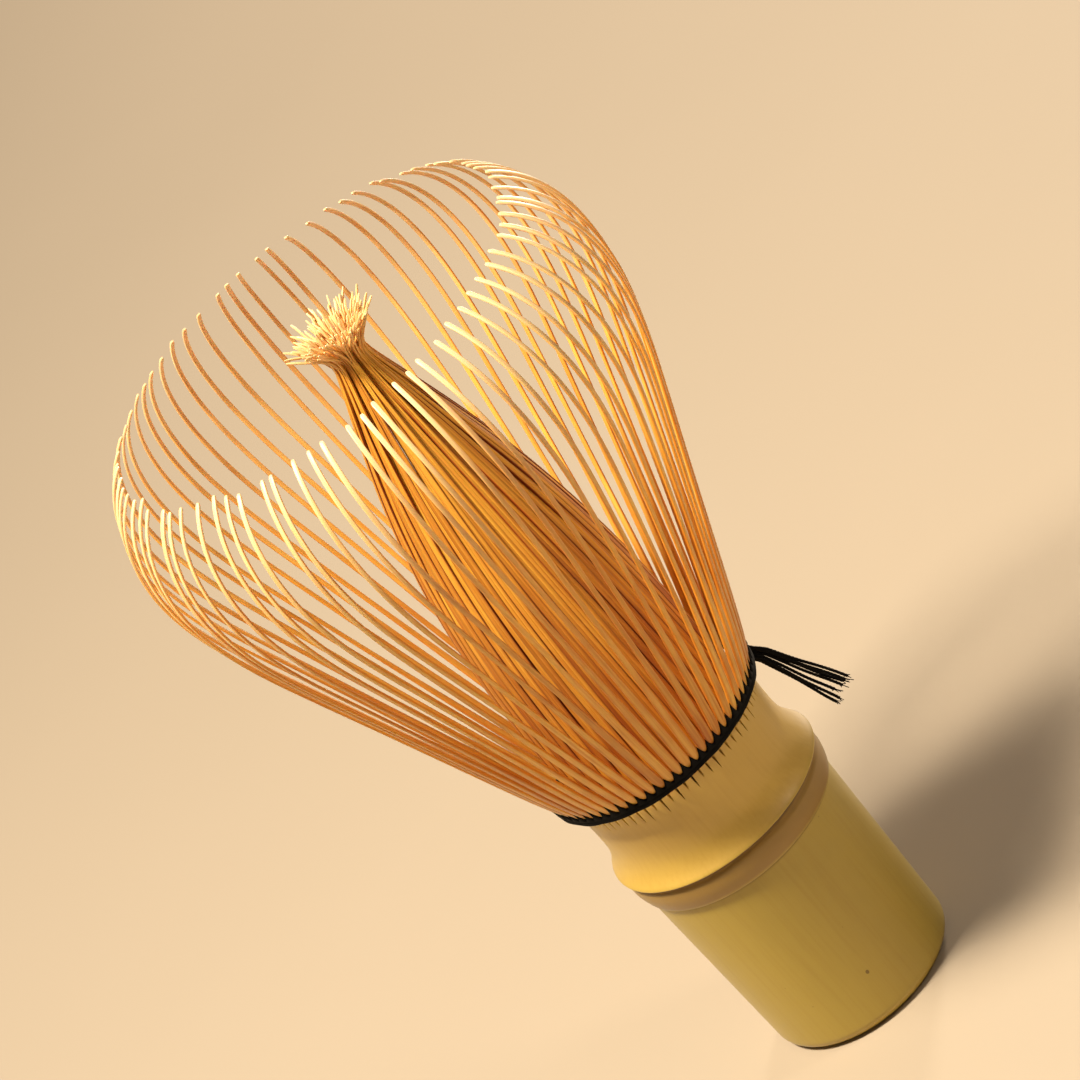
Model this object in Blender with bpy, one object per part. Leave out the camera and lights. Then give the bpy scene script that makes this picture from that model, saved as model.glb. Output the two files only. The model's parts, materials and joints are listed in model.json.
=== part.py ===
"""Bamboo tea whisk: one culm split into two rings of tines, with a black thread woven between them.

Metres, +Z up. The whisk stands upright on its handle, and the origin is the centre of the
handle's flat bottom face.
"""
import bpy
import bmesh
from math import cos, sin, pi, radians, tau
from mathutils import Matrix, Vector

# Handle: a length of culm that is open at the bottom, with the bamboo's own node near its top
HANDLE_BASE_RADIUS = 0.0128
HANDLE_TOP_RADIUS = 0.01364
HANDLE_TOP_Z = 0.0276
BASE_EDGE_RADIUS = 0.0018
BORE_RADIUS = 0.0090
SEPTUM_THICKNESS = 0.0030       # the node's wall, which closes the bore
NODE_RING_HEIGHT = 0.0045
NODE_RING_BULGE = 0.0005
NODE_RING_STEPS = 4
NODE_RING_MARGIN = 0.1          # share of the ring's height given to the ledge, and to the groove
NODE_LEDGE = 0.0004             # step out from the handle to the node ring
GROOVE_DEPTH = 0.0005

# Neck: carved concave between the node's collar and the thread
NECK_TOP_RADIUS = 0.0138
COLLAR_FLARE = 0.00114          # how far the collar stands out beyond the neck's top
NECK_HEIGHT = 0.0121
NECK_DIP = 0.0010
NECK_STEPS = 4
HOLLOW_STEP = 0.0001            # the hollow's wall stands just inside the inner tines
SLIT_LENGTH = 0.0032            # how far each split runs down the neck
SLIT_WIDTH = 0.00034

# Splits and tines: each split of the culm carries a few outer tines, and inner ones behind them
SPLIT_COUNT = 18
TINES_PER_SPLIT = 4
ROOT_GAP = 0.0003               # clearance between the neck and the foot of each split
ROOT_HEIGHT = 0.0008
SPLIT_STEP = 0.00090            # how far the outer tines' skin stands out from the neck's top
OUTER_ROOT_WIDTH = 0.00095
OUTER_TIP_WIDTH = 0.00056
OUTER_ROOT_THICKNESS = 0.0007
OUTER_TIP_THICKNESS = 0.00036
FLARE_ANGLE = radians(20.5)     # lean of the straight stretch, outwards from the axis
FLARE_LENGTH = 0.0377
CURL_ANGLE = radians(75.4)      # how far the tip turns back in
CURL_LENGTH = 0.0357
CURL_POWER = 2.42
OUTER_STATIONS = 8

INNER_ROOT_WIDTH = 0.0007
INNER_TIP_WIDTH = 0.00026
INNER_ROOT_THICKNESS = 0.0006
INNER_TIP_THICKNESS = 0.00024
WAIST_POWER = 1.4
WAIST_RADII = (0.0016, 0.0023, 0.0030)
BRUSH_SINK = 0.0013             # brush ends below the rim of the outer tines
BRUSH_HEIGHT = 0.0046           # from the bundle's tightest place up to its ends
BRUSH_FLARE = 0.0044
BRUSH_POWER = 1.6
BUNDLE_LEAN = 0.0024            # sideways drift of the bundle's top, towards +X
INNER_STATIONS = 6
BRUSH_STATIONS = 2

# Thread: turns round the outside, a course between the two rings of tines, a knot and loose ends
THREAD_RADIUS = 0.00024
THREAD_GAP = 0.00020
COURSE_GAP = 0.00028
THREAD_TURNS = 3
THREAD_SIDES = 8
THREAD_SEGMENTS = 48
BAND_ROUNDING = 0.8             # how much of a turn's radius the band's flat back covers
KNOT_RADII = (0.0006, 0.0009, 0.0008)
KNOT_AZIMUTH = radians(8.0)
TAIL_STRANDS = 5
TAIL_STRAND_RADIUS = 0.00018
TAIL_LENGTH = 0.0134
TAIL_LEAN = radians(23.5)       # away from straight down
TAIL_ROOT_WIDTH = 0.0013        # across the loose ends where they leave the knot
TAIL_TIP_WIDTH = 0.0034
TAIL_STAGGER = 0.0003           # every other strand lies this far in front of the middle, or behind
TAIL_POINTS = 9

COLLAR_RADIUS = NECK_TOP_RADIUS + COLLAR_FLARE
OUTER_ROOT_RADIUS = NECK_TOP_RADIUS + SPLIT_STEP - OUTER_ROOT_THICKNESS / 2
COURSE_RADIUS = OUTER_ROOT_RADIUS - OUTER_ROOT_THICKNESS / 2 - COURSE_GAP - THREAD_RADIUS
INNER_ROOT_RADIUS = COURSE_RADIUS - THREAD_RADIUS - COURSE_GAP - INNER_ROOT_THICKNESS / 2
HOLLOW_RADIUS = INNER_ROOT_RADIUS - INNER_ROOT_THICKNESS / 2 - HOLLOW_STEP
TINE_COUNT = SPLIT_COUNT * TINES_PER_SPLIT
TINE_PITCH = tau / TINE_COUNT
SPLIT_PITCH = tau / SPLIT_COUNT
COLLAR_Z = HANDLE_TOP_Z + NODE_RING_HEIGHT
NECK_TOP_Z = COLLAR_Z + NECK_HEIGHT
SLIT_FOOT_Z = NECK_TOP_Z - SLIT_LENGTH
ROOT_Z = NECK_TOP_Z + ROOT_GAP
ROOT_TOP_Z = ROOT_Z + ROOT_HEIGHT
SEPTUM_Z = HANDLE_TOP_Z + NODE_RING_HEIGHT / 2 - SEPTUM_THICKNESS / 2

BAMBOO_SKIN = ("bamboo_skin", (0.62, 0.45, 0.13, 1.0), 0.42)
BAMBOO_TINE = ("bamboo_tine", (0.80, 0.50, 0.15, 1.0), 0.50)
BAMBOO_CORE = ("bamboo_core", (0.72, 0.44, 0.15, 1.0), 0.60)
BLACK_THREAD = ("black_thread", (0.015, 0.014, 0.013, 1.0), 0.85)


def clear_scene():
    for item in list(bpy.data.objects):
        bpy.data.objects.remove(item, do_unlink=True)


def material(look):
    name, colour, roughness = look
    made = bpy.data.materials.get(name)
    if made:
        return made
    made = bpy.data.materials.new(name)
    made.use_nodes = True
    shader = made.node_tree.nodes["Principled BSDF"]
    shader.inputs["Base Color"].default_value = colour
    shader.inputs["Roughness"].default_value = roughness
    shader.inputs["Metallic"].default_value = 0.0
    return made


def add_object(name, mesh, look, location=(0.0, 0.0, 0.0), parent=None):
    piece = bpy.data.objects.new(name, mesh)
    bpy.context.scene.collection.objects.link(piece)
    piece.location = location
    piece.parent = parent
    mesh.materials.append(material(look))
    return piece


def finish_mesh(bm, name, smooth_angle=radians(35.0)):
    bmesh.ops.recalc_face_normals(bm, faces=bm.faces)
    mesh = bpy.data.meshes.new(name)
    bm.to_mesh(mesh)
    bm.free()
    mesh.shade_smooth()
    mesh.set_sharp_from_angle(angle=smooth_angle)
    return mesh


def polar(radius, angle, height):
    return Vector((radius * cos(angle), radius * sin(angle), height))


def blend(start, end, share):
    return start + (end - start) * share


# Culm ---------------------------------------------------------------------------------------

def neck_radius(height):
    """A straight taper from collar to thread, less one sine arch: the neck's carved hollow."""
    share = (height - COLLAR_Z) / NECK_HEIGHT
    return blend(COLLAR_RADIUS, NECK_TOP_RADIUS, share) - NECK_DIP * sin(pi * share)


def outer_profile():
    """(radius, height) pairs from the bottom edge up to the foot of the slits."""
    edge = BASE_EDGE_RADIUS
    points = [(HANDLE_BASE_RADIUS - edge, 0.0)]
    points.append((HANDLE_BASE_RADIUS - edge * (1 - cos(pi / 4)), edge * (1 - sin(pi / 4))))
    points.append((HANDLE_BASE_RADIUS, edge))
    points.append((HANDLE_TOP_RADIUS, HANDLE_TOP_Z))
    for step in range(NODE_RING_STEPS + 1):
        share = step / NODE_RING_STEPS
        ledge = blend(HANDLE_TOP_RADIUS + NODE_LEDGE, COLLAR_RADIUS - GROOVE_DEPTH, share)
        rise = NODE_RING_HEIGHT * blend(NODE_RING_MARGIN, 1 - NODE_RING_MARGIN, share)
        points.append((ledge + NODE_RING_BULGE * sin(pi * share), HANDLE_TOP_Z + rise))
    for step in range(NECK_STEPS + 1):
        height = blend(COLLAR_Z, SLIT_FOOT_Z, step / NECK_STEPS)
        points.append((neck_radius(height), height))
    return points


def ring(bm, radius, height):
    return [bm.verts.new(polar(radius, k * TINE_PITCH, height)) for k in range(TINE_COUNT)]


def bridge(bm, lower, upper):
    for k in range(len(lower)):
        after = (k + 1) % len(lower)
        bm.faces.new((lower[k], lower[after], upper[after], upper[k]))


def slit_crest(bm, outer_foot, inner_foot):
    """Stand one merlon between each pair of wedge slits, whose feet are the two given rings."""
    half = SLIT_WIDTH / (2 * NECK_TOP_RADIUS)
    corners = []
    for k in range(TINE_COUNT):
        sides = (k * TINE_PITCH - half, k * TINE_PITCH + half)
        corners.append([bm.verts.new(polar(radius, side, NECK_TOP_Z))
                        for radius in (NECK_TOP_RADIUS, HOLLOW_RADIUS) for side in sides])
    for k in range(TINE_COUNT):
        after = (k + 1) % TINE_COUNT
        outer_left, outer_right, inner_left, inner_right = corners[k]
        next_outer_left, _, next_inner_left, _ = corners[after]
        bm.faces.new((outer_foot[k], outer_foot[after], next_outer_left, outer_right))
        bm.faces.new((inner_foot[after], inner_foot[k], inner_right, next_inner_left))
        bm.faces.new((outer_right, next_outer_left, next_inner_left, inner_right))
        bm.faces.new((outer_foot[k], outer_right, inner_right, inner_foot[k]))
        bm.faces.new((inner_foot[k], inner_left, outer_left, outer_foot[k]))


def build_culm():
    """Handle, node and neck in one closed shell: outside, slit crest, upper hollow and bore."""
    bm = bmesh.new()
    outside = [ring(bm, radius, height) for radius, height in outer_profile()]
    for lower, upper in zip(outside, outside[1:]):
        bridge(bm, lower, upper)
    hollow_foot = ring(bm, HOLLOW_RADIUS, SEPTUM_Z + SEPTUM_THICKNESS)
    hollow_top = ring(bm, HOLLOW_RADIUS, SLIT_FOOT_Z)
    bridge(bm, hollow_top, hollow_foot)
    bm.faces.new(hollow_foot)
    slit_crest(bm, outside[-1], hollow_top)
    bore_mouth = ring(bm, BORE_RADIUS, 0.0)
    bore_end = ring(bm, BORE_RADIUS, SEPTUM_Z)
    bridge(bm, bore_mouth, outside[0])
    bridge(bm, bore_end, bore_mouth)
    bm.faces.new(bore_end)
    return add_object("culm", finish_mesh(bm, "culm"), BAMBOO_SKIN)


# Tines --------------------------------------------------------------------------------------

def outer_path():
    """Middle line of an outer tine as (radius, height, slope) stations, foot to tip.

    The slope is the lean from vertical. It keeps the flare angle over the straight stretch,
    and then falls by a power of the way along the curl, so that the tip curls the hardest.
    """
    fine_steps = 240
    total = FLARE_LENGTH + CURL_LENGTH
    shares = [0.0, FLARE_LENGTH / total]
    curl_stations = OUTER_STATIONS - len(shares)
    shares += [(FLARE_LENGTH + CURL_LENGTH * (n + 1) / curl_stations) / total
               for n in range(curl_stations)]
    targets = [round(share * fine_steps) for share in shares]
    radius, height = OUTER_ROOT_RADIUS, ROOT_TOP_Z
    stations = []
    for step in range(fine_steps + 1):
        along = total * step / fine_steps
        curled = max(0.0, along - FLARE_LENGTH) / CURL_LENGTH
        slope = FLARE_ANGLE - CURL_ANGLE * curled ** CURL_POWER
        if step in targets:
            stations.append((radius, height, slope, along / total))
        radius += sin(slope) * total / fine_steps
        height += cos(slope) * total / fine_steps
    return stations


def inner_path(waist_radius, rim_z):
    """Middle line of an inner tine: a quarter cosine in to the waist, then a flaring brush."""
    total = rim_z - BRUSH_SINK - ROOT_TOP_Z
    waist_height = total - BRUSH_HEIGHT
    stations = []
    for step in range(INNER_STATIONS):
        share = step / (INNER_STATIONS - 1)
        radius = blend(waist_radius, INNER_ROOT_RADIUS, cos(pi / 2 * share ** WAIST_POWER))
        stations.append((radius, ROOT_TOP_Z + waist_height * share, waist_height * share / total))
    for step in range(1, BRUSH_STATIONS + 1):
        share = step / BRUSH_STATIONS
        rise = waist_height + BRUSH_HEIGHT * share
        stations.append((waist_radius + BRUSH_FLARE * share ** BRUSH_POWER,
                         ROOT_TOP_Z + rise, rise / total))
    sloped = []
    for here, (radius, height, share) in enumerate(stations):
        before, after = stations[max(here - 1, 0)], stations[min(here + 1, len(stations) - 1)]
        lean = Vector((after[0] - before[0], after[1] - before[1]))
        sloped.append((radius, height, pi / 2 - lean.angle_signed(Vector((1.0, 0.0))), share))
    return sloped


def section(angle, station, width, thickness, drift=0.0):
    """Four corners of a tine: inner left, inner right, outer right, outer left."""
    radius, height, slope, share = station
    corners = []
    for depth, side in ((-1, -1), (-1, 1), (1, 1), (1, -1)):
        reach = radius + depth * thickness / 2 * cos(slope)
        lift = height - depth * thickness / 2 * sin(slope)
        corner = polar(reach, angle, lift) + side * width / 2 * Vector((-sin(angle), cos(angle), 0.0))
        corners.append(corner + Vector((drift * share ** 2, 0.0, 0.0)))
    return corners


def split_mesh(name, paths, root_width, tip_width, root_thickness, tip_thickness, angles, drift=0.0):
    """One split as a closed solid: a foot block, with a tine drawn up from it at each angle."""
    bm = bmesh.new()
    tops, feet = [], []
    for path, angle in zip(paths, angles):
        corners = section(angle, (path[0][0], path[0][1], 0.0, 0.0), root_width, root_thickness)
        tops.append([bm.verts.new(corner) for corner in corners])
        feet.append([bm.verts.new(Vector((corner.x, corner.y, ROOT_Z))) for corner in corners])
    last = len(angles) - 1
    for k, (top, foot) in enumerate(zip(tops, feet)):
        bm.faces.new(foot)
        bm.faces.new((foot[0], foot[1], top[1], top[0]))
        bm.faces.new((foot[2], foot[3], top[3], top[2]))
        if k < last:
            beyond_top, beyond_foot = tops[k + 1], feet[k + 1]
            bm.faces.new((top[1], beyond_top[0], beyond_top[3], top[2]))
            bm.faces.new((foot[1], beyond_foot[0], beyond_foot[3], foot[2]))
            bm.faces.new((foot[1], beyond_foot[0], beyond_top[0], top[1]))
            bm.faces.new((foot[2], beyond_foot[3], beyond_top[3], top[2]))
    bm.faces.new((feet[0][0], feet[0][3], tops[0][3], tops[0][0]))
    bm.faces.new((feet[last][1], feet[last][2], tops[last][2], tops[last][1]))
    for path, angle, top in zip(paths, angles, tops):
        face = bm.faces.new(top)
        for station in path[1:]:
            face = bmesh.ops.extrude_discrete_faces(bm, faces=[face])["faces"][0]
            width = blend(root_width, tip_width, station[3])
            thickness = blend(root_thickness, tip_thickness, station[3])
            for vert, corner in zip(face.verts, section(angle, station, width, thickness, drift)):
                vert.co = corner
    return finish_mesh(bm, name)


def split_angles(split):
    first = split * TINES_PER_SPLIT
    return [(first + tine + 0.5) * TINE_PITCH for tine in range(TINES_PER_SPLIT)]


def hinge_frame(split):
    """Empty on the thread line at the middle of a split, where its tines flex."""
    angle = (split + 0.5) * SPLIT_PITCH
    hinge = bpy.data.objects.new("hinge_%02d" % (split + 1), None)
    bpy.context.scene.collection.objects.link(hinge)
    hinge.location = polar(OUTER_ROOT_RADIUS, angle, ROOT_TOP_Z)
    hinge.rotation_euler = (0.0, 0.0, angle)
    return hinge


def build_outer_splits():
    path = outer_path()
    for split in range(SPLIT_COUNT):
        name = "outer_split_%02d" % (split + 1)
        mesh = split_mesh(name, [path] * TINES_PER_SPLIT, OUTER_ROOT_WIDTH, OUTER_TIP_WIDTH,
                          OUTER_ROOT_THICKNESS, OUTER_TIP_THICKNESS, split_angles(split))
        hinge = hinge_frame(split)
        place = Matrix.Translation(hinge.location) @ hinge.rotation_euler.to_matrix().to_4x4()
        mesh.transform(place.inverted())
        add_object(name, mesh, BAMBOO_TINE, parent=hinge)


def build_inner_splits():
    rim_z = outer_path()[-1][1]
    paths = [inner_path(radius, rim_z) for radius in WAIST_RADII]
    for split in range(SPLIT_COUNT):
        name = "inner_split_%02d" % (split + 1)
        first = split * TINES_PER_SPLIT
        chosen = [paths[(first + tine) % len(paths)] for tine in range(TINES_PER_SPLIT)]
        mesh = split_mesh(name, chosen, INNER_ROOT_WIDTH, INNER_TIP_WIDTH, INNER_ROOT_THICKNESS,
                          INNER_TIP_THICKNESS, split_angles(split), drift=BUNDLE_LEAN)
        add_object(name, mesh, BAMBOO_CORE)


# Thread -------------------------------------------------------------------------------------

def face_radius(height):
    """Outer face of the outer tines at a height beside the thread."""
    rise = max(0.0, height - ROOT_TOP_Z)
    return OUTER_ROOT_RADIUS + OUTER_ROOT_THICKNESS / 2 + rise * sin(FLARE_ANGLE) / cos(FLARE_ANGLE)


def turned(profile, name, look):
    """Turn a closed (radius, height) outline about the axis into a ring."""
    bm = bmesh.new()
    hoops = [[bm.verts.new(polar(radius, k * tau / THREAD_SEGMENTS, height))
              for k in range(THREAD_SEGMENTS)] for radius, height in profile]
    for lower, upper in zip(hoops, hoops[1:] + hoops[:1]):
        bridge(bm, lower, upper)
    return add_object(name, finish_mesh(bm, name), look)


def build_winding():
    """The turns lie on each other, so they make one band with a scalloped outside."""
    lowest = ROOT_Z + THREAD_RADIUS
    highest = lowest + 2 * THREAD_RADIUS * (THREAD_TURNS - 1)
    seat = face_radius(highest + THREAD_RADIUS) + THREAD_GAP
    middle = seat + THREAD_RADIUS
    profile = [(seat, lowest - THREAD_RADIUS * BAND_ROUNDING)]
    half_sides = THREAD_SIDES // 2
    for turn in range(THREAD_TURNS):
        centre = lowest + 2 * THREAD_RADIUS * turn
        for step in range(1, half_sides):
            angle = pi * step / half_sides - pi / 2
            profile.append((middle + THREAD_RADIUS * cos(angle), centre + THREAD_RADIUS * sin(angle)))
    profile.append((seat, highest + THREAD_RADIUS * BAND_ROUNDING))
    turned(profile, "thread_winding", BLACK_THREAD)
    return middle + THREAD_RADIUS, (lowest + highest) / 2


def build_course():
    """One course of thread lies between the outer and the inner ring of tines."""
    height = ROOT_TOP_Z + THREAD_RADIUS
    profile = [(COURSE_RADIUS + THREAD_RADIUS * cos(tau * k / THREAD_SIDES),
                height + THREAD_RADIUS * sin(tau * k / THREAD_SIDES)) for k in range(THREAD_SIDES)]
    turned(profile, "thread_course", BLACK_THREAD)


def build_knot(band_radius, band_z):
    """A small oval knot against the winding, near the +X side."""
    bm = bmesh.new()
    bmesh.ops.create_uvsphere(bm, u_segments=12, v_segments=8, radius=1.0)
    bmesh.ops.scale(bm, vec=KNOT_RADII, verts=bm.verts)
    place = polar(band_radius + THREAD_GAP + KNOT_RADII[0], KNOT_AZIMUTH, band_z)
    knot = add_object("thread_knot", finish_mesh(bm, "thread_knot"), BLACK_THREAD, location=place)
    knot.rotation_euler = (0.0, 0.0, KNOT_AZIMUTH)
    return place


def build_tail(knot):
    """Loose thread ends lie side by side, leave from under the knot and fan out a little."""
    ahead = Vector((sin(TAIL_LEAN), 0.0, -cos(TAIL_LEAN)))
    across = Vector((cos(TAIL_LEAN), 0.0, sin(TAIL_LEAN)))
    leave = knot - Vector((0.0, 0.0, KNOT_RADII[2] + THREAD_GAP + TAIL_STRAND_RADIUS))
    for strand in range(TAIL_STRANDS):
        fan = strand / (TAIL_STRANDS - 1) - 0.5
        stagger = Vector((0.0, TAIL_STAGGER if strand % 2 else -TAIL_STAGGER, 0.0))
        name = "thread_end_%d" % (strand + 1)
        curve = bpy.data.curves.new(name, "CURVE")
        curve.dimensions = "3D"
        curve.bevel_depth = TAIL_STRAND_RADIUS
        curve.bevel_resolution = 2
        curve.use_fill_caps = True
        spline = curve.splines.new("POLY")
        spline.points.add(TAIL_POINTS - 1)
        for k, point in enumerate(spline.points):
            share = k / (TAIL_POINTS - 1)
            width = blend(TAIL_ROOT_WIDTH, TAIL_TIP_WIDTH, share)
            place = leave + ahead * TAIL_LENGTH * share + across * fan * width + stagger
            point.co = (*place, 1.0)
        add_object(name, curve, BLACK_THREAD)


def main():
    clear_scene()
    build_culm()
    build_outer_splits()
    build_inner_splits()
    band_radius, band_z = build_winding()
    build_course()
    build_tail(build_knot(band_radius, band_z))


main()
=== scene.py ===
# %% [markdown]
# # A bamboo tea whisk
#
# The whisk is one short length of bamboo. Its lower half is left whole as the handle. Its upper half is
# split into fine tines, an outer ring that flares and curls and an inner ring that gathers to a brush,
# and a black thread is woven between the two rings. The solid model of it is already made, so this
# script loads it as a fixed frame and dresses it: every new piece takes its place from the frame.

# %% Load the frame
import json
import bpy
import numpy as np
from mathutils import Matrix, Vector


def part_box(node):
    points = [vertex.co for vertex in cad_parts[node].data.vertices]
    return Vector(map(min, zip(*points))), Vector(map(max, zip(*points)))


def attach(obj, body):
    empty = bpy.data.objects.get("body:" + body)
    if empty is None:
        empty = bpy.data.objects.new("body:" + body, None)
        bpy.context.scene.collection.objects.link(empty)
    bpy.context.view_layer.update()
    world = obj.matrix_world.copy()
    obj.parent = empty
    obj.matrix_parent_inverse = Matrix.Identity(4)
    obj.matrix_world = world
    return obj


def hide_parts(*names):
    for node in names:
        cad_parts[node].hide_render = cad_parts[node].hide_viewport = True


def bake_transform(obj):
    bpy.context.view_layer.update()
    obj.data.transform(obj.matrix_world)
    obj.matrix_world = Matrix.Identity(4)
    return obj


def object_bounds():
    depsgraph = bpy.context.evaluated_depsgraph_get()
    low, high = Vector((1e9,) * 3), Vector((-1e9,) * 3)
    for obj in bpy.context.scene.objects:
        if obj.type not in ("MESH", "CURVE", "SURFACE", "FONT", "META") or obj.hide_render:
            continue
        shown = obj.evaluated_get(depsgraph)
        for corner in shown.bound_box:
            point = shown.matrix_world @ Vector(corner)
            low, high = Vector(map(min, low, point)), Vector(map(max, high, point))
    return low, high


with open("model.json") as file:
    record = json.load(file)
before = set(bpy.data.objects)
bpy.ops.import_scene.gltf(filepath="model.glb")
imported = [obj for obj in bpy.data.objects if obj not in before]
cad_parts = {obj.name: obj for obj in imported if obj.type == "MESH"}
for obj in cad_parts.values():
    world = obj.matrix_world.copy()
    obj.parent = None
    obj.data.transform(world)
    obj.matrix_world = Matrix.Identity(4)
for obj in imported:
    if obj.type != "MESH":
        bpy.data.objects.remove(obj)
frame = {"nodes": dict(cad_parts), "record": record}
cad_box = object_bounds()
record = frame["record"]
print("frame box", [list(corner) for corner in cad_box])

# %% [markdown]
# The main heights and radii are read off the frame's own solids, so the looks stay in step with it. The
# culm is the handle with its neck, the winding is the band of thread, and each outer split is a comb of
# tines that flexes about a hinge on the thread line.

# %% Read the driving sizes
MM = 0.001
culm_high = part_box("culm")[1]
band_low, band_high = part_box("thread_winding")
knot_low, knot_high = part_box("thread_knot")
COLLAR_RADIUS = culm_high[0]
NECK_TOP_Z = culm_high[2]
BAND_RADIUS = band_high[0]
BAND_LOW, BAND_HIGH = band_low[2], band_high[2]
RIM_Z = cad_box[1][2]
SPLITS = sorted(name for name in frame["nodes"] if name.startswith("outer_split"))
INNER_SPLITS = sorted(name for name in frame["nodes"] if name.startswith("inner_split"))
TINES_PER_SPLIT = 4
TINE_COUNT = TINES_PER_SPLIT * len(SPLITS)
TINE_PITCH = 2 * np.pi / TINE_COUNT
HINGES = record["behaviour"]["joints"]
ROOT_RADIUS = float(np.hypot(*HINGES[0]["pos_m"][:2]))
ROOT_Z = HINGES[0]["pos_m"][2]
print("tines", TINE_COUNT, "root radius %.2f mm at height %.2f mm" % (ROOT_RADIUS / MM, ROOT_Z / MM))

# %% [markdown]
# ## Camera
#
# The whisk leans to the left in its portrait. The object itself stays upright on its foot, and the camera
# is rolled about its own view line instead, which gives the same picture. The roll mixes the level right
# and up directions of a camera that only looks down by its tilt. A long lens keeps the perspective mild.

# %% Set up the camera
CAMERA_TILT = np.radians(25.69)
CAMERA_ROLL = np.radians(40.92)
CAMERA_DISTANCE = 0.7112
CAMERA_AIM = Vector((4.8 * MM, 0.0, 73.9 * MM))
LENS = 200.8
VIEW_END = 20.0


def camera_axes(tilt, roll):
    """Right, up and back directions. Right = cos(roll) level right - sin(roll) level up, and so on."""
    level_up = Vector((0.0, np.sin(tilt), np.cos(tilt)))
    level_right = Vector((1.0, 0.0, 0.0))
    right = level_right * np.cos(roll) - level_up * np.sin(roll)
    up = level_right * np.sin(roll) + level_up * np.cos(roll)
    return right, up, right.cross(up)


RIGHT, UP, BACK = camera_axes(CAMERA_TILT, CAMERA_ROLL)


def look_matrix(place, right, up, back):
    """Columns are the three directions and the place."""
    turn = Matrix((right, up, back)).transposed()
    return Matrix.Translation(place) @ turn.to_4x4()


lens = bpy.data.cameras.new("portrait_camera")
lens.lens = LENS
lens.clip_end = VIEW_END
camera = bpy.data.objects.new("portrait_camera", lens)
bpy.context.scene.collection.objects.link(camera)
camera.matrix_world = look_matrix(CAMERA_AIM + BACK * CAMERA_DISTANCE, RIGHT, UP, BACK)
bpy.context.scene.camera = camera
bpy.context.scene.view_settings.view_transform = "Standard"
print("camera stands at", tuple(round(value, 4) for value in camera.matrix_world.translation))

# %% [markdown]
# ## Light
#
# One warm soft box stands high on the left and in front, almost in line with the whisk's own axis. It
# strikes the curled tips squarely and grazes the handle, and the crown throws its shadow on the neck. A
# weak fill opens the shadows from the right, and a light low behind gives the right edge of the handle a
# soft sheen. An even world light stands for the rest of the studio. All of them are warm white.

# %% Set up the lights
LIGHT_AIM = Vector((0.0, 0.0, 0.55 * RIM_Z))
KEY_WHITE = (1.0, 0.89, 0.71)
SOFT_WHITE = (1.0, 0.88, 0.72)
WORLD_STRENGTH = 0.12


def compass(azimuth, elevation):
    """The direction at an azimuth round the whisk, from +X, and an elevation above the floor, in degrees."""
    turn, lift = np.radians(azimuth), np.radians(elevation)
    return Vector((np.cos(lift) * np.cos(turn), np.cos(lift) * np.sin(turn), np.sin(lift)))


def softbox(name, way, distance, size, power, colour):
    """A square area light that stands in a direction from the whisk and faces it."""
    data = bpy.data.lights.new(name, "AREA")
    data.size = size
    data.energy = power
    data.color = colour
    light = bpy.data.objects.new(name, data)
    bpy.context.scene.collection.objects.link(light)
    light.rotation_euler = way.to_track_quat("Z", "Y").to_euler()
    light.location = LIGHT_AIM + way * distance
    print(name, "at", tuple(round(value, 2) for value in light.location), "m,", power, "W")


softbox("key_light", compass(204.0, 69.0), distance=0.62, size=0.10, power=8.8, colour=KEY_WHITE)
softbox("fill_light", compass(332.0, 36.0), distance=0.80, size=0.12, power=1.15, colour=SOFT_WHITE)
softbox("edge_light", compass(58.0, 6.0), distance=0.80, size=0.12, power=5.0, colour=SOFT_WHITE)

world = bpy.data.worlds.new("studio")
world.use_nodes = True
backdrop = world.node_tree.nodes["Background"]
backdrop.inputs["Color"].default_value = (*SOFT_WHITE, 1.0)
backdrop.inputs["Strength"].default_value = WORLD_STRENGTH
bpy.context.scene.world = world

# %% [markdown]
# ## A small language for shader maths
#
# Node trees get long when every sum is three lines of linking. The class below wraps one output socket and
# overloads the arithmetic signs, so that `1 - mask * 0.4` adds its Math nodes by itself. Colours go through
# Mix nodes, because a Math node would turn them grey.

# %% Wrap sockets in arithmetic
class Field:
    """One output socket. Expressions on fields add Math nodes to the field's tree."""

    def __init__(self, tree, socket):
        self.tree = tree
        self.socket = socket

    def _math(self, operation, first, second):
        node = self.tree.nodes.new("ShaderNodeMath")
        node.operation = operation
        feed(self.tree, node.inputs[0], first)
        feed(self.tree, node.inputs[1], second)
        return Field(self.tree, node.outputs[0])

    def __add__(self, other):
        return self._math("ADD", self, other)

    def __radd__(self, other):
        return self._math("ADD", other, self)

    def __sub__(self, other):
        return self._math("SUBTRACT", self, other)

    def __rsub__(self, other):
        return self._math("SUBTRACT", other, self)

    def __mul__(self, other):
        return self._math("MULTIPLY", self, other)

    def __rmul__(self, other):
        return self._math("MULTIPLY", other, self)

    def __pow__(self, other):
        return self._math("POWER", self, other)

    def clamped(self):
        """The value held between 0 and 1."""
        return self._math("MINIMUM", self._math("MAXIMUM", self, 0.0), 1.0)

    def rise(self, low, high):
        """0 below low, 1 above high, and a straight ramp between."""
        return ((self - low) * (1.0 / (high - low))).clamped()


def feed(tree, socket, value):
    """Link a field to a socket, or set the socket's own value."""
    if isinstance(value, Field):
        tree.links.new(value.socket, socket)
    else:
        socket.default_value = value


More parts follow.
